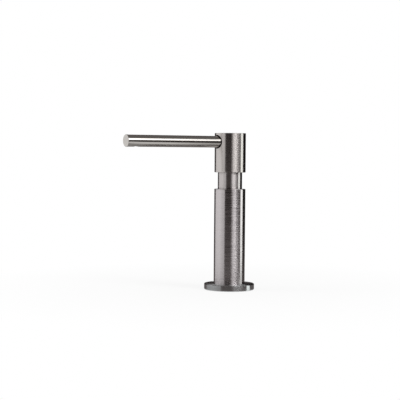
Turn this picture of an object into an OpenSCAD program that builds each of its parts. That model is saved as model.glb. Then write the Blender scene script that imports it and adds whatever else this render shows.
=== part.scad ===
// Soap dispenser for a sink deck. A flange and a column stand on the deck. A neck sleeve slides in
// the column and carries the head with its spout, over a spring pump. A bottle hangs under the deck.
// +Z is up, the origin is on the column axis at the deck surface, and the spout runs along -Y.

/* [Column and flange] */
// Outer diameter of the column
column_d = 32; // [30:0.5:36]
// Wall of the column
column_wall = 1.5; // [1:0.1:1.8]
// Height of the column above the flange
column_h = 97.5; // [90:0.1:160]
// Outer diameter of the base flange
flange_d = 51.6; // [48:0.2:70]
// Thickness of the base flange
flange_t = 6.1; // [4:0.1:10]
// Outer diameter of the seal under the flange
seal_d = 44; // [40:0.5:46]
// Width of the seal under the flange
seal_w = 4; // [2:0.5:5]
// Thickness of the seal under the flange
seal_t = 2; // [1:0.1:3]

/* [Neck and head] */
// Wall of the bush between the column and the neck sleeve
guide_wall = 1.87; // [1.6:0.01:2.4]
// Wall of the neck sleeve
sleeve_wall = 1; // [0.8:0.1:1.4]
// Length of neck that shows between column and head at rest
neck_gap = 17.1; // [16:0.1:30]
// Length of neck that the head holds
sleeve_seat = 12; // [8:0.5:16]
// Outer diameter of the head
head_d = 32; // [30:0.2:40]
// Height of the head
head_h = 40.2; // [38:0.1:60]
// Thickness of the top of the head
head_roof = 2; // [1:0.1:2.2]
// Diameter of the core inside the head
core_d = 20; // [18:0.5:21]

/* [Spout] */
// Outer diameter of the spout
spout_d = 11.8; // [9:0.1:12.5]
// Wall of the spout
spout_wall = 1; // [0.6:0.1:1.5]
// Distance from the column axis to the tip of the spout
spout_reach = 121; // [70:1:180]
// Distance from the top of the head down to the spout axis
spout_drop = 9; // [8.6:0.1:12]
// Distance from the tip of the spout back to the outlet
outlet_inset = 11; // [10:0.5:20]
// Diameter of the outlet
outlet_d = 3; // [2:0.1:4]

/* [Pump] */
// Travel of the head when it is pressed
stroke = 15; // [8:0.5:15.5]
// Outer diameter of the pump barrel
barrel_d = 17; // [15:0.5:19]
// Wall of the pump barrel
barrel_wall = 1.5; // [1:0.1:2]
// Diameter of the pump stem
stem_d = 7; // [6.4:0.1:8]
// Bore of the pump stem
stem_bore = 4; // [3:0.1:4.4]
// Diameter of the two valve balls
ball_d = 5; // [4.8:0.1:5.6]
// Lift of the two valve balls
ball_lift = 1.5; // [1:0.1:2]
// Height of the piston
piston_h = 8; // [6:0.5:12]
// Mean diameter of the return spring
spring_d = 14; // [13:0.5:17]
// Wire of the return spring
wire_d = 1.2; // [0.8:0.1:1.6]
// Turns of the return spring
spring_turns = 10; // [6:1:14]
// Outer diameter of the dip tube
dip_d = 7; // [5:0.5:9]
// Wall of the dip tube
dip_wall = 1; // [0.6:0.1:1.4]

/* [Under the deck] */
// Thickness of the deck that is clamped
deck_grip = 20; // [8:1:40]
// Thread diameter of the shank
shank_d = 28; // [26:0.5:29]
// Wall of the shank
shank_wall = 2.5; // [1.8:0.1:3]
// Thread pitch of the shank
thread_pitch = 1.5; // [1:0.25:2]
// Diameter of the two washers
washer_d = 48; // [40:1:60]
// Thickness of the rubber washer
rubber_t = 2.5; // [1:0.5:5]
// Thickness of the steel washer
plate_t = 1.5; // [1:0.1:3]
// Width of the nut across its flats
nut_af = 40; // [36:1:50]
// Height of the nut
nut_h = 9; // [6:0.5:14]
// Length of thread that the bottle holds
bottle_hold = 15; // [10:1:20]
// Diameter of the bottle
bottle_d = 64; // [50:1:90]
// Height of the bottle with its neck
bottle_h = 112; // [90:1:220]
// Wall of the bottle
bottle_wall = 1.2; // [0.8:0.1:2]

/* [Fits] */
// Radial gap of parts that are fixed in one another
fit_gap = 0.05; // [0.02:0.01:0.1]
// Gap of parts that slide or turn in or on one another
run_gap = 0.08; // [0.05:0.01:0.1]
// Radial gap of nut and bottle over the thread
thread_gap = 0.15; // [0.1:0.05:0.3]
// Gap between a valve ball and its seat at rest
seat_gap = 0.12; // [0.1:0.01:0.2]
// Break on the outer edges
edge = 0.3; // [0.1:0.1:0.5]

/* [Hidden] */
$fn = 96;

// Radii
column_r = column_d / 2;
bore_r = column_r - column_wall;
seat_r = bore_r - fit_gap;
flange_r = flange_d / 2;
sleeve_r = seat_r - guide_wall - run_gap;
sleeve_in_r = sleeve_r - sleeve_wall;
head_r = head_d / 2;
core_r = core_d / 2;
spout_r = spout_d / 2;
spout_in_r = spout_r - spout_wall;
barrel_r = barrel_d / 2;
barrel_in_r = barrel_r - barrel_wall;
stem_r = stem_d / 2;
channel_r = stem_bore / 2;
ball_r = ball_d / 2;
wire_r = wire_d / 2;
dip_r = dip_d / 2;
shank_r = shank_d / 2;
shank_in_r = shank_r - shank_wall;
bottle_r = bottle_d / 2;

// Column stack, from its mouth down
mouth_depth = 0.6;
wiper_t = 2.4;
guide_len = 16;
stop_gap = 0.3;
stop_t = 1.6;
sleeve_end = 0.8;
press_gap = 1.2;
cap_t = 3.5;
collar_t = 2.5;
gasket_t = 1;
column_top = flange_t + column_h;
guide_top = column_top - mouth_depth - wiper_t;
guide_bottom = guide_top - guide_len;
stop_top = guide_bottom - stop_gap;
stop_bottom = stop_top - stop_t;
sleeve_bottom = stop_bottom - sleeve_end;
cap_top = sleeve_bottom - stroke - press_gap;
barrel_top = cap_top - cap_t;
collar_bottom = barrel_top - collar_t;
carrier_top = collar_bottom - gasket_t;
collar_r = bore_r - 2.5;
shank_seat = 20;
shank_top = flange_t + shank_seat;

// Check valves, as heights above a seat
chamber_r = ball_r + 0.6;
cage_t = 1.5;
cage_r = chamber_r + 1.1;
seat_cone = chamber_r - channel_r;
ball_rest = sqrt(ball_r * ball_r - channel_r * channel_r) + seat_gap;
cage_rest = ball_rest + ball_r + ball_lift + seat_gap;
valve_h = cage_rest + cage_t;

// Piston and barrel, from the cap down
piston_gap = 1.5;
foot_t = 1.5;
foot_r = stem_r + 1.5;
piston_top = barrel_top - piston_gap;
piston_bottom = piston_top - piston_h;
stem_foot = piston_bottom - foot_t;
barrel_floor = stem_foot - stroke - press_gap;
inlet_seat = barrel_floor - valve_h;
dip_top = inlet_seat - 2;
housing_bottom = dip_top - 10;
housing_r = max(dip_r + fit_gap, cage_r) + 2;

// Head, from its underside up
core_lift = 4;
thrust_t = 1.2;
shoulder_t = 2;
head_bottom = column_top + neck_gap;
head_top = head_bottom + head_h;
sleeve_top = head_bottom + sleeve_seat;
core_bottom = head_bottom + core_lift;
core_top = head_top - head_roof - 0.2;
shoulder_top = core_bottom - thrust_t;
shoulder_bottom = shoulder_top - shoulder_t;
shoulder_r = spring_d / 2 + wire_r + 1.5;
outlet_seat = shoulder_top + 2;
stem_top = outlet_seat + valve_h;
cup_r = cage_r + 1.8;
o_ring_r = 0.55;
o_ring_z = core_bottom + 3;

// Spout, as distances from the column axis
spout_z = head_top - spout_drop;
spout_root = 3.5;
spout_seal_t = 1.2;
plug_t = 1.2;
plug_lip = 0.2;
plug_hold = 5;
outlet_y = spout_reach - outlet_inset;
nozzle_r = outlet_d / 2 + 1.1;

// Under the deck, from the deck down
plate_top = -deck_grip - rubber_t;
nut_top = plate_top - plate_t;
neck_top = nut_top - nut_h - 2;
shank_bottom = neck_top - bottle_hold;
bottle_bottom = neck_top - bottle_h;
neck_r = shank_r + thread_gap + 2;
shoulder_h = 16;

// Return spring
ring_count = 8;
wire_sides = 6;
end_pitch = wire_d + 0.6;
spring_free = shoulder_bottom - cap_top - 0.1;
mid_pitch = end_pitch + (spring_free - wire_d - end_pitch * spring_turns) / (spring_turns - 2);
spring_in_r = spring_d / 2 * cos(180 / ring_count) - wire_r;

// Ring about the column axis between two heights
module ring(r_out, r_in, low, high) {
    translate([0, 0, low]) difference() {
        cylinder(r = r_out, h = high - low);
        translate([0, 0, -1]) cylinder(r = r_in, h = high - low + 2);
    }
}

// Solid turned about the column axis
module turned(points) {
    rotate_extrude() polygon(points);
}

// Places a solid that grows along +Z so that it grows along the spout from a distance to the axis
module along_spout(from) {
    translate([0, -from, spout_z]) rotate([90, 0, 0]) children();
}

// Cage over a valve ball: a disc with a hole and four slots that the ball can't close
module valve_cage(low) {
    slot_w = 1;
    difference() {
        ring(cage_r - fit_gap, ball_r * 0.6, low, low + cage_t);
        for (turn = [0, 90])
            rotate(turn) translate([-chamber_r, -slot_w / 2, low - 1]) cube([2 * chamber_r, slot_w, cage_t + 2]);
    }
}

// Round plate on the deck, with a groove for its seal
module base_flange() {
    hole_r = shank_r + fit_gap;
    color("silver") turned([
        [hole_r, 0], [seal_d / 2 - seal_w, 0], [seal_d / 2 - seal_w, seal_t], [seal_d / 2, seal_t],
        [seal_d / 2, 0], [flange_r - edge, 0], [flange_r, edge], [flange_r, flange_t - edge],
        [flange_r - edge, flange_t], [hole_r, flange_t]
    ]);
}

// Seal in the groove of the flange, flush with the deck
module deck_seal() {
    color("#222222") ring(seal_d / 2 - fit_gap, seal_d / 2 - seal_w + fit_gap, 0, seal_t);
}

// Upright tube on the flange
module column_tube() {
    color("silver") turned([
        [bore_r, flange_t], [column_r - edge, flange_t], [column_r, flange_t + edge],
        [column_r, column_top - edge], [column_r - edge, column_top], [bore_r, column_top]
    ]);
}

// Tube through the deck: a plain spigot in the column and a thread below the deck
module mounting_shank() {
    thread_top = -6;
    root_r = shank_r - 0.5 * thread_pitch;
    turns = floor((thread_top - shank_bottom - 1) / thread_pitch);
    thread = [
        for (i = [0 : turns - 1], p = [[shank_r, 0.25], [root_r, 0.5], [root_r, 0.75], [shank_r, 1]])
            [p[0], thread_top - (i + p[1]) * thread_pitch]
    ];
    color("gainsboro") turned(concat(
        [[shank_in_r, shank_top], [seat_r, shank_top], [seat_r, flange_t], [shank_r, flange_t]],
        thread,
        [[shank_r, shank_bottom], [shank_in_r, shank_bottom]]
    ));
}

// Rubber washer under the deck
module deck_washer() {
    color("#222222") ring(washer_d / 2, shank_r + thread_gap, plate_top, -deck_grip);
}

// Steel washer under the rubber one
module clamp_washer() {
    color("silver") ring(washer_d / 2, shank_r + thread_gap, nut_top, plate_top);
}

// Hexagon nut with chamfered corners
module lock_nut() {
    corner_r = nut_af / 2 / cos(30);
    cone = corner_r - nut_af / 2;
    low = nut_top - nut_h;
    color("goldenrod") difference() {
        intersection() {
            translate([0, 0, low]) cylinder(r = corner_r, h = nut_h, $fn = 6);
            turned([
                [0, low], [nut_af / 2, low], [corner_r, low + cone / 2], [corner_r, nut_top - cone / 2],
                [nut_af / 2, nut_top], [0, nut_top]
            ]);
        }
        translate([0, 0, low - 1]) cylinder(r = shank_r + thread_gap, h = nut_h + 2);
    }
}

// Half outline of the bottle at a depth in from its outer face, from the neck down to the floor
function bottle_side(in) = let (foot = 6 - in, body_r = bottle_r - in, mouth_r = neck_r - in) concat(
    [for (a = [0 : 15 : 90])
        [mouth_r + (body_r - mouth_r) * sin(a), neck_top - bottle_hold - in - shoulder_h * (1 - cos(a))]],
    [for (a = [0 : 15 : 90])
        [body_r - foot * (1 - cos(a)), bottle_bottom + 6 - foot * sin(a)]]
);

// Bottle that screws onto the shank
module soap_bottle() {
    color("whitesmoke") difference() {
        turned(concat([[0, neck_top], [neck_r, neck_top]], bottle_side(0), [[0, bottle_bottom]]));
        turned(concat(
            [[0, neck_top - bottle_hold - bottle_wall]], bottle_side(bottle_wall), [[0, bottle_bottom + bottle_wall]]
        ));
        translate([0, 0, neck_top - bottle_hold - 3]) cylinder(r = shank_r + thread_gap, h = bottle_hold + 4);
    }
}

// Holder that stands on the shank inside the column and carries the barrel
module pump_carrier() {
    shelf_t = 5;
    wall = 2.2;
    color("dimgray") turned([
        [seat_r - wall, shank_top], [seat_r, shank_top], [seat_r, carrier_top], [barrel_r + fit_gap, carrier_top],
        [barrel_r + fit_gap, carrier_top - shelf_t], [seat_r - wall, carrier_top - shelf_t]
    ]);
}

// Gasket under the collar of the barrel
module barrel_gasket() {
    color("#222222") ring(collar_r, barrel_r + fit_gap, carrier_top, collar_bottom);
}

// Pump cylinder with its collar, the inlet valve seat and the socket of the dip tube
module pump_barrel() {
    floor_t = 2;
    socket_r = dip_r + fit_gap;
    color("white") turned([
        [barrel_in_r, barrel_top], [collar_r, barrel_top], [collar_r, collar_bottom], [barrel_r, collar_bottom],
        [barrel_r, barrel_floor - floor_t], [housing_r, barrel_floor - floor_t], [housing_r, housing_bottom],
        [socket_r, housing_bottom], [socket_r, dip_top], [channel_r, dip_top], [channel_r, inlet_seat],
        [chamber_r, inlet_seat + seat_cone], [chamber_r, barrel_floor - cage_t], [cage_r, barrel_floor - cage_t],
        [cage_r, barrel_floor], [barrel_in_r, barrel_floor]
    ]);
}

// Cage that keeps the inlet ball in its chamber
module inlet_cage() {
    color("white") valve_cage(barrel_floor - cage_t);
}

// Ball of the inlet valve
module inlet_ball() {
    color("silver") translate([0, 0, inlet_seat + ball_rest]) sphere(r = ball_r);
}

// Straight tube down to the floor of the bottle, cut on the slant at its foot
module dip_tube() {
    low = bottle_bottom + bottle_wall + 4;
    color("white") difference() {
        ring(dip_r, dip_r - dip_wall, low, dip_top - fit_gap);
        translate([0, 0, low]) rotate([0, 45, 0]) translate([-dip_d, -dip_d, -dip_d]) cube([2 * dip_d, 2 * dip_d, dip_d]);
    }
}

// Cap that closes the barrel round the stem and centres the spring
module barrel_cap() {
    hole_r = stem_r + run_gap;
    spigot_r = spring_in_r - 0.4;
    color("dimgray") turned([
        [hole_r, barrel_top], [collar_r, barrel_top], [collar_r, cap_top], [spigot_r, cap_top],
        [spigot_r, cap_top + 2], [hole_r, cap_top + 2]
    ]);
}

// Piston with a lip at each end
module piston() {
    r = barrel_in_r - run_gap;
    lip = piston_h / 6;
    color("white") turned([
        [stem_r + fit_gap, piston_bottom], [r, piston_bottom], [r, piston_bottom + lip],
        [r - 0.8, piston_bottom + 2 * lip], [r - 0.8, piston_top - 2 * lip], [r, piston_top - lip],
        [r, piston_top], [stem_r + fit_gap, piston_top]
    ]);
}

// Hollow piston rod with the spring shoulder and, at its top, the cup of the outlet valve
module pump_stem() {
    groove_r = cup_r - 2 * o_ring_r - fit_gap;
    groove_h = o_ring_r + 0.1;
    color("white") turned([
        [channel_r, stem_foot], [foot_r, stem_foot], [foot_r, piston_bottom], [stem_r, piston_bottom],
        [stem_r, piston_top], [foot_r, piston_top], [foot_r, piston_top + 1], [stem_r, piston_top + 1],
        [stem_r, shoulder_bottom], [shoulder_r, shoulder_bottom], [shoulder_r, shoulder_top],
        [cup_r, shoulder_top], [cup_r, o_ring_z - groove_h], [groove_r, o_ring_z - groove_h],
        [groove_r, o_ring_z + groove_h], [cup_r, o_ring_z + groove_h], [cup_r, stem_top], [cage_r, stem_top],
        [cage_r, stem_top - cage_t], [chamber_r, stem_top - cage_t], [chamber_r, outlet_seat + seat_cone],
        [channel_r, outlet_seat]
    ]);
}

// Ball of the outlet valve
module outlet_ball() {
    color("silver") translate([0, 0, outlet_seat + ball_rest]) sphere(r = ball_r);
}

// Cage that keeps the outlet ball in the cup
module outlet_cage() {
    color("white") valve_cage(stem_top - cage_t);
}

// Seal between the cup of the stem and the core that turns on it
module stem_o_ring() {
    color("#222222") translate([0, 0, o_ring_z]) rotate_extrude()
        translate([cup_r - o_ring_r, 0]) circle(r = o_ring_r - fit_gap / 2);
}

// Height of the spring wire after a number of turns, with one closer turn at each end
function spring_z(turn) = cap_top + 0.05 + wire_r + end_pitch * turn
    + (mid_pitch - end_pitch) * min(max(turn - 1, 0), spring_turns - 2);

// Centre of the spring wire at a ring
function spring_point(i) = let (turn = i / ring_count)
    [spring_d / 2 * cos(360 * turn), spring_d / 2 * sin(360 * turn), spring_z(turn)];

// Coil that lifts the head
module return_spring() {
    last = spring_turns * ring_count;
    points = [
        for (i = [0 : last], s = [0 : wire_sides - 1])
            let (a = 360 * i / ring_count, b = 360 * s / wire_sides, out = wire_r * cos(b))
            spring_point(i) + [out * cos(a), out * sin(a), wire_r * sin(b)]
    ];
    side = [
        for (i = [0 : last - 1], s = [0 : wire_sides - 1])
            let (a = i * wire_sides + s, b = i * wire_sides + (s + 1) % wire_sides)
            each [[a, b, a + wire_sides], [b, b + wire_sides, a + wire_sides]]
    ];
    tip = last * wire_sides;
    start_cap = [for (s = [1 : wire_sides - 2]) [0, s + 1, s]];
    end_cap = [for (s = [1 : wire_sides - 2]) [tip, tip + s, tip + s + 1]];
    least = min([
        for (i = [0 : last], j = [i + ring_count / 2 : last]) norm(spring_point(i) - spring_point(j)) - wire_d
    ]);
    echo(return_spring_least_gap = least);
    color("lightgray") polyhedron(points, concat(side, start_cap, end_cap));
}

// Washer on which the head turns
module thrust_washer() {
    color("black") ring(shoulder_r, cup_r + run_gap, shoulder_top, core_bottom - run_gap);
}

// Bearing of the sleeve in the column, relieved along its middle
module guide_bush() {
    r = sleeve_r + run_gap;
    land = guide_len / 4;
    relief = (seat_r - r) / 3;
    color("dimgray") turned([
        [r, guide_bottom], [seat_r, guide_bottom], [seat_r, guide_top], [r, guide_top], [r, guide_top - land],
        [r + relief, guide_top - land], [r + relief, guide_bottom + land], [r, guide_bottom + land]
    ]);
}

// Seal in the mouth of the column
module wiper_ring() {
    color("#222222") ring(seat_r, sleeve_r + run_gap, guide_top, guide_top + wiper_t);
}

// Depth of the groove in which the stop ring sits
groove_depth = 0.4 * sleeve_wall;

// Thin tube between column and head
module neck_sleeve() {
    color("silver") turned([
        [sleeve_in_r, sleeve_bottom], [sleeve_r, sleeve_bottom], [sleeve_r, stop_bottom],
        [sleeve_r - groove_depth, stop_bottom], [sleeve_r - groove_depth, stop_top], [sleeve_r, stop_top],
        [sleeve_r, sleeve_top], [sleeve_in_r, sleeve_top]
    ]);
}

// Ring on the sleeve that meets the bush when the head is up
module stop_ring() {
    color("gray") ring((sleeve_r + bore_r) / 2, sleeve_r - groove_depth + fit_gap, stop_bottom, stop_top);
}

// Elbow inside the head: a socket that turns on the stem, and a channel to the spout
module head_core() {
    socket_top = stem_top + 1;
    riser_r = channel_r + 0.5;
    color("white") difference() {
        translate([0, 0, core_bottom]) cylinder(r = core_r, h = core_top - core_bottom);
        translate([0, 0, core_bottom - 1]) cylinder(r = cup_r + run_gap, h = socket_top - core_bottom + 1);
        translate([0, 0, socket_top - 1]) cylinder(r = riser_r, h = spout_z + riser_r - socket_top + 1);
        along_spout(0) cylinder(r = channel_r, h = spout_root + 1);
        along_spout(spout_root) cylinder(r = spout_r + fit_gap, h = core_r);
    }
}

// Turned head with a flat top, bored for the sleeve, the core and the spout
module head_shell() {
    relief_w = 1.1;
    relief_depth = 2.6;
    mouth_r = (sleeve_r + head_r) / 2;
    mouth_h = 1.5;
    color("silver") difference() {
        turned([
            [0, head_bottom], [head_r - edge, head_bottom], [head_r, head_bottom + edge],
            [head_r, head_top - edge], [head_r - edge, head_top], [0, head_top]
        ]);
        translate([0, 0, head_bottom - 1]) cylinder(r = mouth_r, h = mouth_h + 1);
        translate([0, 0, head_bottom - 1]) cylinder(r = sleeve_r + fit_gap, h = sleeve_seat + 1);
        translate([0, 0, head_bottom]) cylinder(r = core_r + fit_gap, h = head_h - head_roof);
        along_spout(0) cylinder(r = spout_r + fit_gap, h = head_r + 1);
        along_spout(head_r - relief_depth) cylinder(r = spout_r + relief_w, h = relief_depth + 1);
    }
}

// Flat seal between the spout and the core
module spout_seal() {
    color("#222222") along_spout(spout_root) difference() {
        cylinder(r = spout_r, h = spout_seal_t);
        translate([0, 0, -1]) cylinder(r = channel_r, h = spout_seal_t + 2);
    }
}

// Straight spout with the outlet hole in its underside
module spout_tube() {
    start = spout_root + spout_seal_t;
    length = spout_reach - plug_t - start;
    color("silver") difference() {
        along_spout(start) difference() {
            cylinder(r = spout_r, h = length);
            translate([0, 0, -1]) cylinder(r = spout_in_r, h = length + 2);
        }
        translate([0, -outlet_y, spout_z - spout_r - 1]) cylinder(r = nozzle_r, h = spout_r + 1);
    }
}

// Outlet in the hole of the spout, set back from its surface
module outlet_nozzle() {
    low = spout_z - sqrt(spout_r * spout_r - nozzle_r * nozzle_r);
    high = spout_z - spout_in_r + 1.2;
    color("#222222") translate([0, -outlet_y, 0]) ring(nozzle_r - fit_gap, outlet_d / 2, low, high);
}

// Plug that closes the tip of the spout with a flat face
module spout_end_plug() {
    color("lightgray") along_spout(spout_reach - plug_t) {
        cylinder(r = spout_r + plug_lip, h = plug_t);
        translate([0, 0, -plug_hold]) cylinder(r = spout_in_r - fit_gap, h = plug_hold + plug_t / 2);
    }
}

base_flange();
deck_seal();
column_tube();
mounting_shank();
deck_washer();
clamp_washer();
lock_nut();
soap_bottle();
pump_carrier();
barrel_gasket();
pump_barrel();
inlet_cage();
inlet_ball();
dip_tube();
barrel_cap();
piston();
pump_stem();
outlet_ball();
outlet_cage();
stem_o_ring();
return_spring();
thrust_washer();
guide_bush();
wiper_ring();
neck_sleeve();
stop_ring();
head_core();
head_shell();
spout_seal();
spout_tube();
outlet_nozzle();
spout_end_plug();
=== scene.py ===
import math

import bmesh
import bpy
from mathutils import Matrix, Vector


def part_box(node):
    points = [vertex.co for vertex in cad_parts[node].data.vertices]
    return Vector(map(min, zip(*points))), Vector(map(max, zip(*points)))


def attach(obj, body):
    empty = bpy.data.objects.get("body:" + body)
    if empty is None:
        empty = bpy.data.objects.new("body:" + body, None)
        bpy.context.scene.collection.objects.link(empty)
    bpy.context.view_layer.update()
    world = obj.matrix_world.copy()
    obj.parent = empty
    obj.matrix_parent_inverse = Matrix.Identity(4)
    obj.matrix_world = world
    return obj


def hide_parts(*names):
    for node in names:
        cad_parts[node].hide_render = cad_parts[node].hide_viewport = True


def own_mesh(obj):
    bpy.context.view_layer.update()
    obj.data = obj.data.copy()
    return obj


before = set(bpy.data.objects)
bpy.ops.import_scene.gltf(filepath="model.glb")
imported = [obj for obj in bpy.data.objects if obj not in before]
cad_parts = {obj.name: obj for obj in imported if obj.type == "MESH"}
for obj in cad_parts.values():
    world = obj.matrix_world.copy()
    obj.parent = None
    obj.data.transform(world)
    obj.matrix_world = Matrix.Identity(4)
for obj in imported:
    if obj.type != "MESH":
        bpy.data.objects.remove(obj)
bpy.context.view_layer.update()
scene = bpy.context.scene

# Base flange: the round plate that stands on the sink deck and covers its hole.
# Stainless steel, faced and edged on a lathe, then brushed round its axis.
# It is brazed to the foot of the column, and its underside has a groove for the seal.
MM = 0.001


def linear(colour):
    """Linear RGBA of an sRGB hex colour."""
    parts = [int(colour[i:i + 2], 16) / 255 for i in (1, 3, 5)]
    return [c / 12.92 if c <= 0.04045 else ((c + 0.055) / 1.055) ** 2.4 for c in parts] + [1.0]


def feed(tree, made, inputs):
    """Sets a node's inputs. Each takes a value, a socket, or a node whose first live output feeds it."""
    for key, value in inputs.items():
        if isinstance(value, bpy.types.Node):
            value = next(socket for socket in value.outputs if socket.enabled)
        if isinstance(value, bpy.types.NodeSocket):
            tree.links.new(value, made.inputs[key])
        else:
            made.inputs[key].default_value = value


def node(tree, kind, inputs=None, **settings):
    """Adds a node with its settings and its inputs."""
    made = tree.nodes.new(kind)
    for key, value in settings.items():
        setattr(made, key, value)
    feed(tree, made, inputs or {})
    return made


def surface(name, constants):
    """New material with its tree and its Principled shader, with the sockets that are the same all over."""
    made = bpy.data.materials.new(name)
    made.use_nodes = True
    tree = made.node_tree
    shader = tree.nodes["Principled BSDF"]
    feed(tree, shader, constants)
    return made, tree, shader


def brushed_steel(name, turned_about, line_width, line_depth, smoothest, roughest, dark_line, pale_line):
    """Stainless steel brushed round an axis.

    The grooves stretch a reflection along the axis, so bands of light run the length of the piece,
    and single deeper grooves show as fine rings. Real grit lines are near 0.1 mm, so they are drawn
    wider, as the render needs.
    """
    streak_length, hand_marks = 16 * MM, 22 * MM
    steel, tree, shader = surface(name, {
        "Metallic": 1.0, "Anisotropic": 1.0, "Anisotropic Rotation": 0.25})
    place = node(tree, "ShaderNodeTexCoord").outputs["Object"]
    axes = node(tree, "ShaderNodeSeparateXYZ", {0: place}).outputs
    side = [axes[k] for k in "XYZ" if k != turned_about]
    flat = node(tree, "ShaderNodeCombineXYZ", {0: side[0], 1: side[1]})
    radius = node(tree, "ShaderNodeVectorMath", {0: flat}, operation="LENGTH")
    along = node(tree, "ShaderNodeMath", {0: axes[turned_about], 1: radius}, operation="ADD")
    groove = node(tree, "ShaderNodeMath", {0: along, 1: 1 / line_width}, operation="MULTIPLY")
    across = node(tree, "ShaderNodeCombineXYZ", {2: groove})
    streak = node(tree, "ShaderNodeVectorMath", {0: flat, "Scale": 1 / streak_length}, operation="SCALE")
    lines_at = node(tree, "ShaderNodeVectorMath", {0: streak, 1: across}, operation="ADD")
    lines = node(tree, "ShaderNodeTexNoise", {
        "Vector": lines_at, "Scale": 1.0, "Detail": 1.0, "Roughness": 0.6})
    handled = node(tree, "ShaderNodeTexNoise", {
        "Vector": place, "Scale": 1 / hand_marks, "Detail": 2.0, "Roughness": 0.5})
    tone = node(tree, "ShaderNodeMix", {
        "Factor": lines, "A": linear(dark_line), "B": linear(pale_line)}, data_type="RGBA")
    grit = node(tree, "ShaderNodeMapRange", {
        "Value": lines, "From Min": 0.25, "From Max": 0.75, "To Min": smoothest, "To Max": roughest})
    smear = node(tree, "ShaderNodeMapRange", {
        "Value": handled, "From Min": 0.3, "From Max": 0.7, "To Min": -0.02, "To Max": 0.03})
    rough = node(tree, "ShaderNodeMath", {0: grit, 1: smear}, operation="ADD")
    bump = node(tree, "ShaderNodeBump", {"Height": lines, "Strength": 1.0, "Distance": line_depth})
    way = node(tree, "ShaderNodeTangent", direction_type="RADIAL", axis=turned_about)
    feed(tree, shader, {"Base Color": tone, "Roughness": rough, "Normal": bump, "Tangent": way})
    return steel


def start_tree(name, inputs):
    """New Geometry Nodes tree with named inputs of given kinds, and the sockets that bring them in."""
    tree = bpy.data.node_groups.new(name, "GeometryNodeTree")
    for label, kind in inputs.items():
        tree.interface.new_socket(label, in_out="INPUT", socket_type="NodeSocket" + kind)
    tree.interface.new_socket("Piece", in_out="OUTPUT", socket_type="NodeSocketGeometry")
    return tree, node(tree, "NodeGroupInput").outputs


def end_tree(tree, shape, finish):
    """Ends a Geometry Nodes tree with real geometry in its material."""
    real = node(tree, "GeometryNodeRealizeInstances", {0: shape})
    finished = node(tree, "GeometryNodeSetMaterial", {"Geometry": real, "Material": finish})
    node(tree, "NodeGroupOutput", {0: finished})
    return tree


def lathe():
    """Geometry Nodes tree that turns a closed outline, x out from the axis and y up, about Z."""
    tree, given = start_tree("lathe", {"Outline": "Geometry", "Segments": "Int", "Finish": "Material"})
    spindle = 1 * MM
    outline = node(tree, "GeometryNodeMeshToCurve", {"Mesh": given["Outline"]})
    # A sweep lays an outline's Y downwards, so it is turned over first
    placed = node(tree, "GeometryNodeTransform", {
        "Geometry": outline, "Translation": (-spindle, 0, 0), "Rotation": (math.pi, 0, 0)})
    circle = node(tree, "GeometryNodeCurvePrimitiveCircle", {
        "Resolution": given["Segments"], "Radius": spindle})
    upright = node(tree, "GeometryNodeSetCurveNormal", {"Curve": circle}, mode="Z_UP")
    swept = node(tree, "GeometryNodeCurveToMesh", {"Curve": upright, "Profile Curve": placed})
    return end_tree(tree, swept, given["Finish"])


LATHE = lathe()


def settle(piece):
    """Makes what a piece's modifiers give its plain mesh: doubles merged, faces out, corners crisp."""
    weld, sliver, crisp = 1e-6, 1e-7, math.radians(40)
    depsgraph = bpy.context.evaluated_depsgraph_get()
    mesh = bpy.data.meshes.new_from_object(piece.evaluated_get(depsgraph), depsgraph=depsgraph)
    piece.modifiers.clear()
    piece.data = mesh
    mesh.name = piece.name
    form = bmesh.new()
    form.from_mesh(mesh)
    bmesh.ops.remove_doubles(form, verts=form.verts, dist=weld)
    bmesh.ops.dissolve_degenerate(form, edges=form.edges, dist=sliver)
    bmesh.ops.recalc_face_normals(form, faces=form.faces)
    form.to_mesh(mesh)
    form.free()
    mesh.shade_smooth()
    mesh.set_sharp_from_angle(angle=crisp)
    return piece


def run(tree, piece, sizes):
    """Shapes a piece with a Geometry Nodes tree and its named sizes."""
    modifier = piece.modifiers.new(tree.name, "NODES")
    modifier.node_group = tree
    for socket in tree.interface.items_tree:
        if socket.name in sizes:
            modifier[socket.identifier] = sizes[socket.name]
    return settle(piece)


def blank(name, data=None):
    """New object at the origin, with its data or with an empty mesh that is still to be shaped."""
    made = bpy.data.objects.new(name, data or bpy.data.meshes.new(name))
    scene.collection.objects.link(made)
    return made


def eased(corners, easing):
    """Closed outline with rounded corners. A corner is (r, z) or (r, z, its own rounding), in metres.

    A holding point on each side of a rounding keeps the flat face beside it flat in the shading.
    """
    # The longest rounding and the longest hold are shares of the side that they lie on
    steps, longest, hold_width, longest_hold = 4, 0.45, 0.12 * MM, 0.04
    points, count = [], len(corners)
    for i, corner in enumerate(corners):
        here = Vector(corner[:2])
        back = Vector(corners[i - 1][:2]) - here
        ahead = Vector(corners[(i + 1) % count][:2]) - here
        rounding = corner[2] if len(corner) > 2 else easing
        if here.x == 0 or rounding == 0:
            points.append(here)
            continue
        half = back.angle(ahead) / 2
        reach = min(rounding / math.tan(half), longest * back.length, longest * ahead.length)
        hold = min(hold_width, longest_hold * back.length, longest_hold * ahead.length)
        b, a = back.normalized(), ahead.normalized()
        centre = here + (a + b).normalized() * (reach / math.cos(half))
        start, end = here + b * reach - centre, here + a * reach - centre
        turn = start.angle_signed(end)
        points.append(here + b * (reach + hold))
        for step in range(steps + 1):
            points.append(centre + Matrix.Rotation(-turn * step / steps, 2) @ start)
        points.append(here + a * (reach + hold))
    return points


def turned(name, corners, finish, easing=0.3 * MM, segments=160):
    """Piece turned about the Z axis from the corners of its half outline."""
    outline = bpy.data.meshes.new(name)
    points = eased(corners, easing)
    count = len(points)
    outline.from_pydata([(p.x, p.y, 0) for p in points], [(i, (i + 1) % count) for i in range(count)], [])
    return run(LATHE, blank(name, outline), {"Segments": segments, "Finish": finish})


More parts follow.
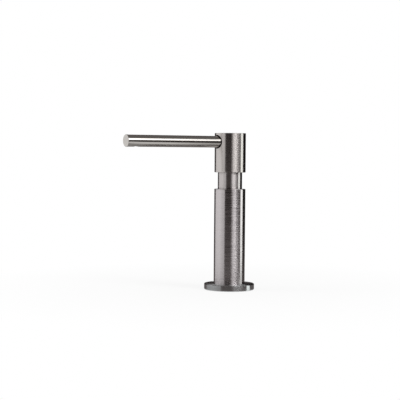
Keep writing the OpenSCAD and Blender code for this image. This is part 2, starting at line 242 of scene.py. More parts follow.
def dress(piece, body, slot, *nodes):
    """Rides a piece on its body and hides the solids it stands for. Its slot is not used."""
    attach(piece, body)
    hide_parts(*nodes)


flange_steel = brushed_steel(
    "stainless steel finely brushed round the flange", turned_about="Z", line_width=1.1 * MM,
    line_depth=0.06 * MM, smoothest=0.15, roughest=0.2, dark_line="#C6C7C8", pale_line="#D0D1D2")
foot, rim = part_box("base_flange")
flange_hole, rim_chamfer = 14.05 * MM, 0.5 * MM
groove_in, groove_out = 18 * MM, 22 * MM
groove_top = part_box("deck_seal")[1].z
flange = turned("flange_plate", [
    (flange_hole, foot.z), (groove_in, foot.z, 0), (groove_in, groove_top, 0),
    (groove_out, groove_top, 0), (groove_out, foot.z, 0), (rim.x, foot.z),
    (rim.x, rim.z - rim_chamfer, 0.1 * MM), (rim.x - rim_chamfer, rim.z, 0.1 * MM),
    (flange_hole, rim.z)], flange_steel)


def face_top(piece, finish):
    """Gives the flat top of a turned piece its own finish."""
    level = 0.95
    piece.data.materials.append(finish)
    for side in piece.data.polygons:
        if side.normal.z > level:
            side.material_index = len(piece.data.materials) - 1


# Facing leaves a rougher skin than the brush does, so the flat tops look duller than the sides
faced_steel = brushed_steel(
    "stainless steel faced on the lathe", turned_about="Z", line_width=0.8 * MM,
    line_depth=0.02 * MM, smoothest=0.32, roughest=0.4, dark_line="#DADBDC", pale_line="#E4E5E6")
face_top(flange, faced_steel)
dress(flange, "stand", "brushed_steel", "base_flange")

# Deck seal: the ring in the groove under the flange that keeps water out of the deck hole.
# Nitrile rubber, moulded, with a dull skin that a little bloom makes uneven.
# It lies loose in its groove and is squeezed by the nut below.


def vary(tree, shader, tone, roughness, relief):
    """Lets patterns vary a finish.

    Tone is a pattern with its darkest and palest colour, roughness a pattern with its smoothest and
    roughest value, and relief a pattern with its strength and depth.
    """
    colour = node(tree, "ShaderNodeMix", {
        "Factor": tone[0], "A": linear(tone[1]), "B": linear(tone[2])}, data_type="RGBA")
    rough = node(tree, "ShaderNodeMapRange", {
        "Value": roughness[0], "From Min": 0.3, "From Max": 0.7,
        "To Min": roughness[1], "To Max": roughness[2]})
    bump = node(tree, "ShaderNodeBump", {
        "Height": relief[0], "Strength": relief[1], "Distance": relief[2]})
    feed(tree, shader, {"Base Color": colour, "Roughness": rough, "Normal": bump})


rubber, tree, shader = surface("nitrile rubber", {"Specular IOR Level": 0.35})
place = node(tree, "ShaderNodeTexCoord").outputs["Object"]
bloom = node(tree, "ShaderNodeTexNoise", {
    "Vector": place, "Scale": 1 / (6 * MM), "Detail": 4.0, "Roughness": 0.6})
skin = node(tree, "ShaderNodeTexNoise", {"Vector": place, "Scale": 1 / (0.5 * MM), "Detail": 2.0})
vary(tree, shader, tone=(bloom, "#141415", "#2C2C2D"), roughness=(bloom, 0.62, 0.82),
     relief=(skin, 0.4, 0.04 * MM))


def finish_node(name, material):
    """Gives a solid of the frame its material."""
    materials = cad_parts[name].data.materials
    materials.clear()
    materials.append(material)


finish_node("deck_seal", rubber)

# Mounting shank: the threaded tube that goes down through the deck and up into the column.
# Mild steel, turned, with a rolled thread and zinc plating, bright with a little haze from its bath.
# Its plain top is pressed into the column, and the nut and the bottle screw onto its thread.
zinc, tree, shader = surface("bright zinc plated steel", {"Metallic": 1.0})
place = node(tree, "ShaderNodeTexCoord").outputs["Object"]
bath = node(tree, "ShaderNodeTexNoise", {
    "Vector": place, "Scale": 1 / (9 * MM), "Detail": 3.0, "Roughness": 0.55})
pits = node(tree, "ShaderNodeTexNoise", {"Vector": place, "Scale": 1 / (0.7 * MM), "Detail": 2.0})
vary(tree, shader, tone=(bath, "#BFC2C6", "#DADCDD"), roughness=(bath, 0.16, 0.3),
     relief=(pits, 0.2, 0.02 * MM))


def thread_cutter():
    """Geometry Nodes tree that lets a helical groove into the outside of a tube between two heights."""
    tree, given = start_tree("thread", {
        "Tube": "Geometry", "Pitch": "Float", "Depth": "Float", "Outer Radius": "Float",
        "Low": "Float", "High": "Float", "Finish": "Material"})
    # Shares of a pitch, from the middle of the crest: where the flank starts and where the root does
    crest, root = 0.07, 0.41
    skin = 0.05 * MM
    at = node(tree, "GeometryNodeInputPosition")
    x, y, z = node(tree, "ShaderNodeSeparateXYZ", {0: at}).outputs
    outward = node(tree, "ShaderNodeCombineXYZ", {0: x, 1: y})
    radius = node(tree, "ShaderNodeVectorMath", {0: outward}, operation="LENGTH")
    angle = node(tree, "ShaderNodeMath", {0: y, 1: x}, operation="ARCTAN2")
    part_turn = node(tree, "ShaderNodeMath", {0: angle, 1: 2 * math.pi}, operation="DIVIDE")
    rise = node(tree, "ShaderNodeMath", {0: z, 1: given["Pitch"]}, operation="DIVIDE")
    turns = node(tree, "ShaderNodeMath", {0: rise, 1: part_turn}, operation="SUBTRACT")
    wave = node(tree, "ShaderNodeMath", {0: turns, 1: 0.5}, operation="PINGPONG")
    flank = node(tree, "ShaderNodeMapRange", {"Value": wave, "From Min": crest, "From Max": root})
    first = node(tree, "ShaderNodeMath", {0: given["Low"], 1: given["Pitch"]}, operation="ADD")
    last = node(tree, "ShaderNodeMath", {0: given["High"], 1: given["Pitch"]}, operation="SUBTRACT")
    fade_in = node(tree, "ShaderNodeMapRange", {"Value": z, "From Min": given["Low"], "From Max": first})
    fade_out = node(tree, "ShaderNodeMapRange", {"Value": z, "From Min": given["High"], "From Max": last})
    ends = node(tree, "ShaderNodeMath", {0: fade_in, 1: fade_out}, operation="MINIMUM")
    cut = node(tree, "ShaderNodeMath", {0: flank, 1: ends}, operation="MULTIPLY")
    depth = node(tree, "ShaderNodeMath", {0: cut, 1: given["Depth"]}, operation="MULTIPLY")
    share = node(tree, "ShaderNodeMath", {0: depth, 1: radius}, operation="DIVIDE")
    back = node(tree, "ShaderNodeMath", {0: share, 1: -1.0}, operation="MULTIPLY")
    offset = node(tree, "ShaderNodeVectorMath", {0: outward, "Scale": back}, operation="SCALE")
    under = node(tree, "ShaderNodeMath", {0: given["Outer Radius"], 1: skin}, operation="SUBTRACT")
    outside = node(tree, "FunctionNodeCompare", {0: radius, 1: under}, operation="GREATER_THAN")
    threaded = node(tree, "GeometryNodeSetPosition", {
        "Geometry": given["Tube"], "Selection": outside, "Offset": offset})
    return end_tree(tree, threaded, given["Finish"])


low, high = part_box("mounting_shank")
shank_r, shank_bore, end_break = 14 * MM, 11.5 * MM, 0.6 * MM
pitch, thread_depth, thread_top, rows_a_turn = 1.5 * MM, 0.75 * MM, -6 * MM, 10
rows = round((thread_top - low.z) / pitch) * rows_a_turn
drop = low.z + end_break - thread_top
thread_side = [(shank_r, thread_top + drop * i / rows, 0) for i in range(rows + 1)]
shank = turned("threaded_shank", [
    (shank_bore, high.z), (high.x, high.z), (high.x, rim.z), (shank_r, rim.z), *thread_side,
    (shank_r - end_break, low.z, 0), (shank_bore, low.z)], zinc, segments=96)
run(thread_cutter(), shank, {
    "Pitch": pitch, "Depth": thread_depth, "Outer Radius": shank_r, "Low": low.z, "High": thread_top,
    "Finish": zinc})
dress(shank, "stand", "plated_steel", "mounting_shank")

# Column: the upright tube that carries everything above the deck.
# Drawn stainless tube, 1.5 mm thick, brushed round its axis, with its mouth deburred.
# Its foot is brazed to the flange.
low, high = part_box("column_tube")
column_bore = 14.5 * MM
column_steel = brushed_steel(
    "stainless steel brushed round the column", turned_about="Z", line_width=1.1 * MM,
    line_depth=0.09 * MM, smoothest=0.15, roughest=0.31, dark_line="#CDC7C8", pale_line="#D7D1D2")
column = turned("column", [
    (column_bore, low.z), (high.x, low.z, 0.1 * MM), (high.x, high.z, 0.35 * MM),
    (column_bore, high.z, 0.25 * MM)], column_steel)
dress(column, "stand", "brushed_steel", "column_tube")

# Pump carrier, barrel cap, guide bush, thrust washer and outlet: the dark mouldings.
# Black acetal, a hard slippery plastic, with the fine spark-eroded grain of its mould.
# The carrier stands on the shank, the cap snaps on the barrel and the bush is pressed in the column.
acetal, tree, shader = surface("black acetal", {"IOR": 1.48})
place = node(tree, "ShaderNodeTexCoord").outputs["Object"]
flow = node(tree, "ShaderNodeTexNoise", {
    "Vector": place, "Scale": 1 / (8 * MM), "Detail": 3.0, "Distortion": 0.6})
spark = node(tree, "ShaderNodeTexNoise", {"Vector": place, "Scale": 1 / (0.35 * MM), "Detail": 2.0})
vary(tree, shader, tone=(flow, "#1B1C1E", "#2A2B2D"), roughness=(spark, 0.4, 0.58),
     relief=(spark, 0.35, 0.03 * MM))
for name in ("pump_carrier", "barrel_cap", "guide_bush", "thrust_washer", "outlet_nozzle"):
    finish_node(name, acetal)

# Pump barrel, valve cages, piston, stem, elbow and dip tube: the parts that the soap runs through.
# Natural polypropylene, moulded or extruded, milky where it is thick, with soft flow marks.
# Barrel and gasket hang in the carrier, the cages snap in and the dip tube is pushed up its socket.
polypropylene, tree, shader = surface("natural polypropylene", {
    "IOR": 1.49, "Subsurface Weight": 0.15, "Subsurface Scale": 2 * MM})
place = node(tree, "ShaderNodeTexCoord").outputs["Object"]
flow = node(tree, "ShaderNodeTexNoise", {
    "Vector": place, "Scale": 1 / (7 * MM), "Detail": 3.0, "Distortion": 1.2})
skin = node(tree, "ShaderNodeTexNoise", {"Vector": place, "Scale": 1 / (1.2 * MM), "Detail": 1.0})
vary(tree, shader, tone=(flow, "#DEDCD4", "#F0EFEA"), roughness=(flow, 0.32, 0.46),
     relief=(skin, 0.2, 0.02 * MM))
for name in ("pump_barrel", "inlet_cage", "piston", "pump_stem", "outlet_cage", "head_core", "dip_tube"):
    finish_node(name, polypropylene)
for name in ("barrel_gasket", "stem_o_ring", "wiper_ring", "spout_seal"):
    finish_node(name, rubber)
for name in ("inlet_ball", "outlet_ball", "stop_ring"):
    finish_node(name, zinc)

# Return spring: the coil that lifts the head after a press.
# Stainless spring wire, 1.2 mm thick, grey from the drawing die, cold wound with closer end turns.
# It stands on the barrel cap and pushes up the shoulder of the stem, which shortens it in a press, though
# here it is wound at one length only.
spring_wire, tree, shader = surface("drawn spring wire", {"Metallic": 1.0})
place = node(tree, "ShaderNodeTexCoord").outputs["Object"]
die = node(tree, "ShaderNodeTexNoise", {
    "Vector": place, "Scale": 1 / (1.5 * MM), "Detail": 3.0, "Roughness": 0.6})
vary(tree, shader, tone=(die, "#A9A9AA", "#CFCFCE"), roughness=(die, 0.2, 0.34),
     relief=(die, 0.15, 0.02 * MM))


def coiler():
    """Geometry Nodes tree that winds wire into a coil with one closer turn at each end."""
    tree, given = start_tree("coil", {
        "Turns": "Float", "Points": "Int", "Coil Radius": "Float", "Wire Radius": "Float",
        "Wire Sides": "Int", "Foot": "Float", "End Pitch": "Float", "Middle Pitch": "Float",
        "Finish": "Material"})
    end_pitch = given["End Pitch"]
    line = node(tree, "GeometryNodeCurvePrimitiveLine")
    points = node(tree, "GeometryNodeResampleCurve", {"Curve": line, "Count": given["Points"]})
    share = node(tree, "GeometryNodeSplineParameter").outputs["Factor"]
    turn = node(tree, "ShaderNodeMath", {0: share, 1: given["Turns"]}, operation="MULTIPLY")
    angle = node(tree, "ShaderNodeMath", {0: turn, 1: 2 * math.pi}, operation="MULTIPLY")
    x = node(tree, "ShaderNodeMath", {0: angle}, operation="COSINE")
    y = node(tree, "ShaderNodeMath", {0: angle}, operation="SINE")
    middle = node(tree, "ShaderNodeMath", {0: given["Turns"], 1: 2.0}, operation="SUBTRACT")
    past_end = node(tree, "ShaderNodeMath", {0: turn, 1: 1.0}, operation="SUBTRACT")
    open_turns = node(tree, "ShaderNodeClamp", {"Value": past_end, "Min": 0.0, "Max": middle})
    wider = node(tree, "ShaderNodeMath", {0: given["Middle Pitch"], 1: end_pitch}, operation="SUBTRACT")
    extra = node(tree, "ShaderNodeMath", {0: open_turns, 1: wider}, operation="MULTIPLY")
    climb = node(tree, "ShaderNodeMath", {0: turn, 1: end_pitch, 2: extra}, operation="MULTIPLY_ADD")
    z = node(tree, "ShaderNodeMath", {0: climb, 1: given["Foot"]}, operation="ADD")
    flat = node(tree, "ShaderNodeCombineXYZ", {0: x, 1: y})
    ring = node(tree, "ShaderNodeVectorMath", {0: flat, "Scale": given["Coil Radius"]}, operation="SCALE")
    height = node(tree, "ShaderNodeCombineXYZ", {2: z})
    at = node(tree, "ShaderNodeVectorMath", {0: ring, 1: height}, operation="ADD")
    path = node(tree, "GeometryNodeSetPosition", {"Geometry": points, "Position": at})
    wire = node(tree, "GeometryNodeCurvePrimitiveCircle", {
        "Resolution": given["Wire Sides"], "Radius": given["Wire Radius"]})
    wound = node(tree, "GeometryNodeCurveToMesh", {
        "Curve": path, "Profile Curve": wire, "Fill Caps": True})
    return end_tree(tree, wound, given["Finish"])


low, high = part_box("return_spring")
turns, points_a_turn, wire_sides = 10, 40, 14
wire_r, coil_r, end_pitch = 0.6 * MM, 7 * MM, 1.8 * MM
rise = high.z - low.z - 2 * wire_r
spring = run(coiler(), blank("coil_spring"), {
    "Turns": float(turns), "Points": turns * points_a_turn + 1, "Coil Radius": coil_r,
    "Wire Radius": wire_r, "Wire Sides": wire_sides, "Foot": low.z + wire_r, "End Pitch": end_pitch,
    "Middle Pitch": end_pitch + (rise - end_pitch * turns) / (turns - 2), "Finish": spring_wire})
dress(spring, "stand", "plated_steel", "return_spring")
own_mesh(spring)

# Neck sleeve: the thinner tube that slides in the column and carries the head.
# Drawn stainless tube, 1 mm thick, brushed round its axis like the column.
# Its top is pressed into the head, and a groove near its foot holds the stop ring.
low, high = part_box("neck_sleeve")
ring_low, ring_high = (p.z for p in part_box("stop_ring"))
sleeve_bore, ring_groove = high.x - 1 * MM, high.x - 0.4 * MM
neck_steel = brushed_steel(
    "stainless steel brushed round the neck", turned_about="Z", line_width=1.1 * MM,
    line_depth=0.015 * MM, smoothest=0.28, roughest=0.32, dark_line="#CEC8C7", pale_line="#D8D2D1")
neck = turned("neck", [
    (sleeve_bore, low.z), (high.x, low.z, 0.15 * MM), (high.x, ring_low, 0), (ring_groove, ring_low, 0),
    (ring_groove, ring_high, 0), (high.x, ring_high, 0), (high.x, high.z, 0.15 * MM),
    (sleeve_bore, high.z, 0.15 * MM)], neck_steel)
dress(neck, "head", "brushed_steel", "neck_sleeve")

# Head: the cap that is pressed to pump, as wide as the column, with a flat top.
# Turned from stainless bar, bored for sleeve, elbow and spout, and brushed round its axis.
# The sleeve is pressed into it, and the spout stands in a narrow relief in its side.
sleeve_r = high.x
low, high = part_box("head_shell")
fit, sleeve_seat, core_bore, roof = 0.05 * MM, 12 * MM, 10.05 * MM, 2 * MM
sleeve_hole = sleeve_r + fit
head_steel = brushed_steel(
    "stainless steel brushed round the head", turned_about="Z", line_width=1.1 * MM,
    line_depth=0.015 * MM, smoothest=0.25, roughest=0.29, dark_line="#CEC8C5", pale_line="#D8D2CF")
head = turned("head", [
    (0, high.z), (high.x, high.z, 0.35 * MM), (high.x, low.z, 0.35 * MM), (sleeve_hole, low.z, 0.1 * MM),
    (sleeve_hole, low.z + sleeve_seat, 0), (core_bore, low.z + sleeve_seat, 0),
    (core_bore, high.z - roof, 0), (0, high.z - roof)], head_steel)


def along_spout(piece):
    """Lays a piece that was turned about Z along the spout: its Z runs out from the column."""
    axis_z = sum(p.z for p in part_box("spout_tube")) / 2
    piece.data.transform(Matrix.Translation((0, 0, axis_z)) @ Matrix.Rotation(math.pi / 2, 4, "X"))
    return piece


def bore(piece, tool):
    """Takes a tool's shape out of a piece and removes the tool."""
    cut = piece.modifiers.new("bore", "BOOLEAN")
    cut.operation, cut.solver, cut.object, cut.material_mode = "DIFFERENCE", "EXACT", tool, "TRANSFER"
    settle(piece)
    bpy.data.objects.remove(tool)


# A bore is left rough and torn as the tool cuts it. Its steel is coloured near black as painted shade, so a
# narrow relief shows as a thin dark line
painted_shade_steel, tree, shader = surface("stainless steel darkened as painted shade", {"Metallic": 1.0})
place = node(tree, "ShaderNodeTexCoord").outputs["Object"]
chatter = node(tree, "ShaderNodeTexNoise", {
    "Vector": place, "Scale": 1 / (0.6 * MM), "Detail": 3.0, "Roughness": 0.6})
vary(tree, shader, tone=(chatter, "#24211F", "#3D3936"), roughness=(chatter, 0.45, 0.6),
     relief=(chatter, 0.4, 0.03 * MM))
tube_low, tube_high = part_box("spout_tube")
spout_r = tube_high.x
spout_hole, relief_r = spout_r + fit, spout_r + 1.1 * MM
relief_floor, tool_end = high.x - 2.6 * MM, high.x + 4 * MM
bore(head, along_spout(turned("spout_bore", [
    (0, 0), (spout_hole, 0, 0), (spout_hole, relief_floor, 0), (relief_r, relief_floor, 0),
    (relief_r, tool_end, 0), (0, tool_end)], painted_shade_steel, segments=128)))
# The recess cut under the head takes the same near black steel, painted shade under the head
mouth_r, mouth_top, tool_end = (sleeve_r + high.x) / 2, low.z + 1.5 * MM, low.z - 2 * MM
bore(head, turned("mouth", [
    (0, tool_end), (mouth_r, tool_end, 0), (mouth_r, mouth_top, 0), (0, mouth_top)], painted_shade_steel))
face_top(head, faced_steel)
dress(head, "head", "brushed_steel", "head_shell")

# Spout: the straight tube that the soap runs out through.
# Drawn stainless tube, 11.8 mm across and 1 mm thick, brushed finely round its own axis.
# It is pushed through the head into the elbow, and a hole in its underside takes the outlet.
spout_steel = brushed_steel(
    "stainless steel brushed round the spout", turned_about="Y", line_width=0.4 * MM,
    line_depth=0.0006 * MM, smoothest=0.08, roughest=0.1, dark_line="#D0CCC7", pale_line="#D4D0CB")
near, far = -tube_high.y, -tube_low.y
spout_bore = spout_r - 1 * MM
spout = along_spout(turned("spout", [
    (spout_bore, near, 0.15 * MM), (spout_r, near, 0.15 * MM), (spout_r, far, 0.1 * MM),
    (spout_bore, far, 0.1 * MM)], spout_steel, segments=128))
outlet_low, outlet_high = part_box("outlet_nozzle")
outlet_y = (outlet_low.y + outlet_high.y) / 2
outlet_hole, hole_top, tool_end = 2.6 * MM, tube_low.z + 4 * MM, tube_low.z - 2 * MM
drill = turned("outlet_hole", [
    (0, tool_end), (outlet_hole, tool_end, 0), (outlet_hole, hole_top, 0), (0, hole_top)],
    spout_steel, segments=64)
drill.data.transform(Matrix.Translation((0, outlet_y, 0)))
bore(spout, drill)
dress(spout, "head", "brushed_steel", "spout_tube")

# End plug: the disc that closes the tip of the spout.
# Stainless steel, turned, with a brushed flat face and a thin proud rim.
# Its spigot is pressed into the tube.
plug_low, plug_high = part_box("spout_end_plug")
tip, spigot_end, spigot_r = -plug_low.y, -plug_high.y, spout_bore - fit
plug_back = tip - 1.2 * MM
plug = along_spout(turned("end_plug", [
    (0, tip), (plug_high.x, tip, 0.3 * MM), (plug_high.x, plug_back, 0.1 * MM), (spigot_r, plug_back, 0),
    (spigot_r, spigot_end, 0.2 * MM), (0, spigot_end)], spout_steel, segments=128))
dress(plug, "head", "brushed_steel", "spout_end_plug")

# Washers and nut: what clamps the flange to the deck from below.
# A rubber washer, a zinc plated steel one, and a hexagon nut turned from brass bar, which shows
# clouds of tarnish and fine rings from the tool. They are screwed up the shank when it is fitted.
brass, tree, shader = surface("turned brass", {"Metallic": 1.0})
place = node(tree, "ShaderNodeTexCoord").outputs["Object"]
tarnish = node(tree, "ShaderNodeTexNoise", {
    "Vector": place, "Scale": 1 / (10 * MM), "Detail": 4.0, "Roughness": 0.6})
axes = node(tree, "ShaderNodeSeparateXYZ", {0: place}).outputs
flat = node(tree, "ShaderNodeCombineXYZ", {0: axes["X"], 1: axes["Y"]})
radius = node(tree, "ShaderNodeVectorMath", {0: flat}, operation="LENGTH")
feed_step = 0.4 * MM
cycle = node(tree, "ShaderNodeMath", {0: radius, 1: 2 * math.pi / feed_step}, operation="MULTIPLY")
rings = node(tree, "ShaderNodeMath", {0: cycle}, operation="SINE")
vary(tree, shader, tone=(tarnish, "#A37E3C", "#D0AD66"), roughness=(tarnish, 0.24, 0.4),
     relief=(rings, 0.25, 0.01 * MM))
finish_node("deck_washer", rubber)
finish_node("clamp_washer", zinc)
finish_node("lock_nut", brass)

# Soap bottle: the container that hangs under the deck.
# Natural high density polyethylene, blown, with an even milky wall and faint flow bands.
# Its threaded neck screws up onto the foot of the shank.
polyethylene, tree, shader = surface("blown polyethylene", {
    "IOR": 1.54, "Subsurface Weight": 0.2, "Subsurface Scale": 3 * MM})
place = node(tree, "ShaderNodeTexCoord").outputs["Object"]
parison = node(tree, "ShaderNodeMapping", {
    "Vector": place, "Scale": (1 / (14 * MM), 1 / (14 * MM), 1 / (60 * MM))})
bands = node(tree, "ShaderNodeTexNoise", {"Vector": parison, "Scale": 1.0, "Detail": 3.0})
sanded = node(tree, "ShaderNodeTexNoise", {"Vector": place, "Scale": 1 / (0.8 * MM), "Detail": 2.0})
vary(tree, shader, tone=(bands, "#E2E0D8", "#F2F1EC"), roughness=(bands, 0.36, 0.5),
     relief=(sanded, 0.25, 0.03 * MM))
low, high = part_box("soap_bottle")
neck_r, neck_hole, neck_hold = 16.15 * MM, 14.15 * MM, 15 * MM
shoulder_h, foot_r, bottle_wall = 16 * MM, 6 * MM, 1.2 * MM


def bottle_side(inset):
    """Half outline of the bottle at a depth in from its outer face, from the neck down to the floor."""
    steps = 16
    mouth, body, corner = neck_r - inset, high.x - inset, foot_r - inset
    quarter = [math.pi / 2 * i / steps for i in range(steps + 1)]
    shoulder = [(mouth + (body - mouth) * math.sin(a),
                 high.z - neck_hold - inset - shoulder_h * (1 - math.cos(a)), 0) for a in quarter]
    heel = [(body - corner * (1 - math.cos(a)), low.z + foot_r - corner * math.sin(a), 0) for a in quarter]
    return shoulder + heel


inside = [p for p in bottle_side(bottle_wall) if p[0] > neck_hole]
bottle = turned("bottle", [
    (neck_hole, high.z), (neck_r, high.z), *bottle_side(0), (0, low.z), (0, low.z + bottle_wall),
    *inside[::-1], (neck_hole, high.z - neck_hold - bottle_wall, 0)], polyethylene, segments=128)
dress(bottle, "stand", "bottle_plastic", "soap_bottle")

# Floor: the sink deck that the flange stands on, plain and pale, with the hole for the shank.
# It is white to the camera and to the metal, and keeps a soft shadow round the flange.
# Further out it fades into the white of the backdrop.
deck_hole, deck_edge = 17.5 * MM, 6.0
form = bmesh.new()
for ring_r in (deck_hole, deck_edge):
    bmesh.ops.create_circle(form, segments=96, radius=ring_r)
bmesh.ops.bridge_loops(form, edges=form.edges)
bmesh.ops.recalc_face_normals(form, faces=form.faces)
floor_mesh = bpy.data.meshes.new("floor")
form.to_mesh(floor_mesh)
form.free()
floor = blank("floor", floor_mesh)


def bare_tree(owner):
    """Empties the node tree of a material or world that needs no Principled shader."""
    owner.use_nodes = True
    owner.node_tree.nodes.clear()
    return owner.node_tree


def looked_at(tree):
    """Node that gives 1 where the camera or a mirror looks, and 0 where light only passes on."""
    path = node(tree, "ShaderNodeLightPath").outputs
    mirrored = node(tree, "ShaderNodeMath", {
        0: path["Is Glossy Ray"], 1: path["Is Transmission Ray"]}, operation="ADD")
    return node(tree, "ShaderNodeMath", {
        0: path["Is Camera Ray"], 1: mirrored}, operation="ADD", use_clamp=True)


deck = bpy.data.materials.new("white deck")
tree = bare_tree(deck)
place = node(tree, "ShaderNodeTexCoord").outputs["Object"]
away = node(tree, "ShaderNodeVectorMath", {0: place}, operation="LENGTH")
glow_near, fade_from, fade_to = 0.85, 60 * MM, 300 * MM
seen = node(tree, "ShaderNodeMapRange", {
    "Value": away, "From Min": fade_from, "From Max": fade_to, "To Min": glow_near, "To Max": 1.0})
share = node(tree, "ShaderNodeMath", {0: seen, 1: looked_at(tree)}, operation="MULTIPLY")
paint = node(tree, "ShaderNodeBsdfDiffuse", {"Color": linear("#F4F4F4")})
white = node(tree, "ShaderNodeEmission", {"Color": linear("#FFFFFF"), "Strength": 1.0})
mixed = node(tree, "ShaderNodeMixShader", {0: share, 1: paint, 2: white})
node(tree, "ShaderNodeOutputMaterial", {"Surface": mixed})
floor_mesh.materials.append(deck)

# Camera: a long lens a little above the neck, off to the side of the spout.
# Its place, tilt and lens are fitted to the edges of flange, column, head and spout.
view_round, view_down, view_roll = (math.radians(a) for a in (58.825, 2.273, 0.445))
view_far, view_aside, view_high = 1.2111, 0.03069, 0.14
picture_px, pixel = 400, 1.03 * MM
ahead = Vector((-math.sin(view_round), math.cos(view_round), 0))
right = Vector((math.cos(view_round), math.sin(view_round), 0))
up = Vector((0, 0, 1))
look = ahead * math.cos(view_down) - up * math.sin(view_down)
top = ahead * math.sin(view_down) + up * math.cos(view_down)
side = right * math.cos(view_roll) + top * math.sin(view_roll)
crown = top * math.cos(view_roll) - right * math.sin(view_roll)
lens = bpy.data.cameras.new("camera")
lens.sensor_width = 36
lens.lens = lens.sensor_width / picture_px * view_far / pixel
camera = blank("camera", lens)
stand_at = Matrix.Translation(up * view_high - ahead * view_far - right * view_aside)
camera.matrix_world = stand_at @ Matrix((side, crown, -look)).transposed().to_4x4()
scene.camera = camera

# Light tent: paper round the part, pale and dark in turn, that only reflections see.
# It gives the steel its upright bands. A stop has its angle to the right of the camera, then the
# tones of the low fence that the flange's rim mirrors, the table, the wall and the upper wall.
panels = (
    (-180, 0.17, 0.22, 0.07, 0.09), (-136, 0.15, 0.12, 0.03, 0.04), (-128, 0.38, 0.64, 0.82, 0.80),
    (-80, 0.43, 0.70, 0.88, 0.82), (-40.5, 0.32, 0.48, 0.60, 0.55), (-38, 0.15, 0.20, 0.05, 0.05),
    (-30, 0.125, 0.17, 0.02, 0.02), (6, 0.125, 0.17, 0.02, 0.02), (14, 0.16, 0.30, 0.10, 0.80),
    (24, 0.26, 0.66, 0.50, 2.0), (34, 0.26, 0.66, 0.66, 2.5), (42, 0.25, 0.72, 0.68, 2.7),
    (46, 0.24, 0.72, 0.20, 3.5), (50, 0.24, 0.72, 0.05, 3.6), (58, 0.22, 0.66, 0.04, 2.7),
    (70, 0.15, 0.34, 0.06, 1.20), (78, 0.13, 0.26, 0.07, 0.60), (85.5, 0.10, 0.22, 0.07, 0.30),
    (87.5, 1.25, 1.20, 1.50, 1.30), (108, 1.25, 1.20, 1.50, 1.30), (110, 0.17, 0.10, 0.01, 0.01),
    (150, 0.15, 0.10, 0.01, 0.01), (172, 0.15, 0.12, 0.02, 0.03), (180, 0.17, 0.22, 0.07, 0.09))
tone_of = {"fence": 1, "table": 2, "open table": 2, "wall": 3, "upper wall": 4}
# The table close to the fence, which the underside of the spout mirrors, has tones of its own
close_table = ((-180, 0.1), (-130, 0.1), (-105, 0.36), (5, 0.36), (30, 0.05), (180, 0.05))
roof_tone = 0.15
# The white card stands at these angles, and the open table in front of it stays dark
white_card, card_foot, foot_tone = (87, 108.5), (85, 110.5), 0.2
# A ring has its radius and height, its part and its twist. The flange's rim sees the paper close to
# it less far round than the wall behind, so the near rings are twisted to bring the stops in line
table_z, fence_z = 0.4 * MM, 6.2 * MM
rings = (
    (0.0265, table_z, "fence", 0.52), (0.0338, table_z, "fence", 0.64), (0.0342, fence_z, "fence", 0.64),
    (0.0343, fence_z, "close table", 1), (0.0344, table_z, "close table", 1),
    (0.05, table_z, "close table", 1), (0.085, table_z, "open table", 0.91),
    (0.115, table_z, "open table", 0.94), (0.13, table_z, "table", 0.95), (0.33, table_z, "table", 0.98),
    (0.4, table_z, "wall", 1), (1.6, table_z, "wall", 1), (1.9, 0.1, "wall", 1), (2.0, 0.3, "wall", 1),
    (2.0, 0.64, "wall", 1), (2.0, 0.7, "upper wall", 1), (2.0, 1.92, "upper wall", 1),
    (2.0, 2.02, "roof", 1), (1.2, 3.0, "roof", 1), (0.001, 3.2, "roof", 1))


def between(stops, angle, column):
    """Tone at an angle to the right of the camera, between the stops on both sides of it."""
    k = next(j for j in range(1, len(stops)) if angle <= stops[j][0])
    before, after = stops[k - 1], stops[k]
    share = (angle - before[0]) / (after[0] - before[0])
    return before[column] + (after[column] - before[column]) * share


def paper_tone(part, angle):
    """Tone of a part of the tent at an angle to the right of the camera."""
    if part == "roof":
        return roof_tone
    if part == "close table":
        return between(close_table, angle, 1)
    if part == "open table" and card_foot[0] < angle < card_foot[1]:
        return foot_tone
    return between(panels, angle, tone_of[part])


def bearing(angle):
    """Level direction out from the part at an angle in degrees to the right of the camera."""
    return -ahead * math.cos(math.radians(angle)) + right * math.sin(math.radians(angle))


steps, span = 360, len(rings)
corners, tones, cools = [], [], []
for i in range(steps + 1):
    angle = -180 + 360 * i / steps
    for ring_r, z, part, twist in rings:
        at = max(-180, min(180, angle / twist))
        corners.append(bearing(angle) * ring_r + up * z)
        tones.append(paper_tone(part, at))
        cools.append(float(white_card[0] < at < white_card[1]))
faces = [(i * span + j, (i + 1) * span + j, (i + 1) * span + j + 1, i * span + j + 1)
         for i in range(steps) for j in range(span - 1)]
tent_mesh = bpy.data.meshes.new("tent")
tent_mesh.from_pydata(corners, [], faces)
tent_mesh.attributes.new("tone", "FLOAT", "POINT").data.foreach_set("value", tones)
tent_mesh.attributes.new("cool", "FLOAT", "POINT").data.foreach_set("value", cools)
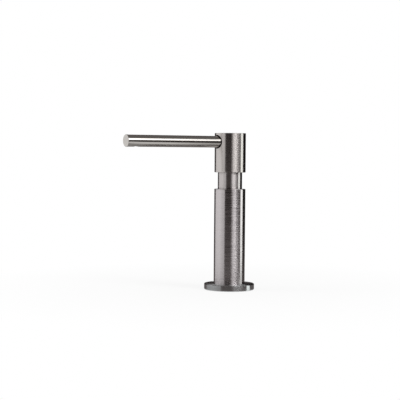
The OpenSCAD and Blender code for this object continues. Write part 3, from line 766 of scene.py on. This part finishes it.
# Dark paper is a little warm, pale paper is white, and the card is a cooler white
paper = bpy.data.materials.new("lit paper")
tree = bare_tree(paper)
tone = node(tree, "ShaderNodeAttribute", attribute_name="tone").outputs["Fac"]
cool = node(tree, "ShaderNodeAttribute", attribute_name="cool").outputs["Fac"]
pale = node(tree, "ShaderNodeMapRange", {"Value": tone, "From Min": 0.05, "From Max": 0.4})
warmth = node(tree, "ShaderNodeMix", {
    "Factor": pale, "A": linear("#FFF0EC"), "B": linear("#FFFFFF")}, data_type="RGBA")
sheet = node(tree, "ShaderNodeMix", {
    "Factor": cool, "A": warmth, "B": linear("#FAFFFC")}, data_type="RGBA")
glow = node(tree, "ShaderNodeEmission", {"Color": sheet, "Strength": tone})
node(tree, "ShaderNodeOutputMaterial", {"Surface": glow})
tent_mesh.materials.append(paper)
tent = blank("tent", tent_mesh)
tent.visible_camera = tent.visible_diffuse = tent.visible_shadow = tent.visible_transmission = False

# Lamps and world: a soft key from the right, a weaker fill from the left, and an even white surround.
# The lamps give the floor its soft shadow and stay out of the steel's reflections.
# The surround is full white where it is looked at, and lights the part more weakly.
lamp_away, aim_z, surround_light = 1.1, 0.08, 0.5


def softbox(name, angle, height, power, size):
    """Square soft lamp at an angle to the right of the camera, aimed at the middle of the part."""
    lamp = bpy.data.lights.new(name, "AREA")
    lamp.energy, lamp.size = power, size
    placed = blank(name, lamp)
    placed.location = bearing(angle) * lamp_away + up * height
    placed.rotation_mode = "QUATERNION"
    placed.rotation_quaternion = (up * aim_z - placed.location).to_track_quat("-Z", "Y")
    placed.visible_glossy = False


softbox("key", angle=55, height=0.8, power=8.0, size=0.5)
softbox("fill", angle=-85, height=0.7, power=4.0, size=0.7)
world = bpy.data.worlds.new("surround")
scene.world = world
tree = bare_tree(world)
even = node(tree, "ShaderNodeBackground", {"Color": linear("#FFFFFF"), "Strength": surround_light})
white = node(tree, "ShaderNodeBackground", {"Color": linear("#FFFFFF"), "Strength": 1.0})
mixed = node(tree, "ShaderNodeMixShader", {0: looked_at(tree), 1: even, 2: white})
node(tree, "ShaderNodeOutputWorld", {"Surface": mixed})
scene.view_settings.view_transform = "Standard"
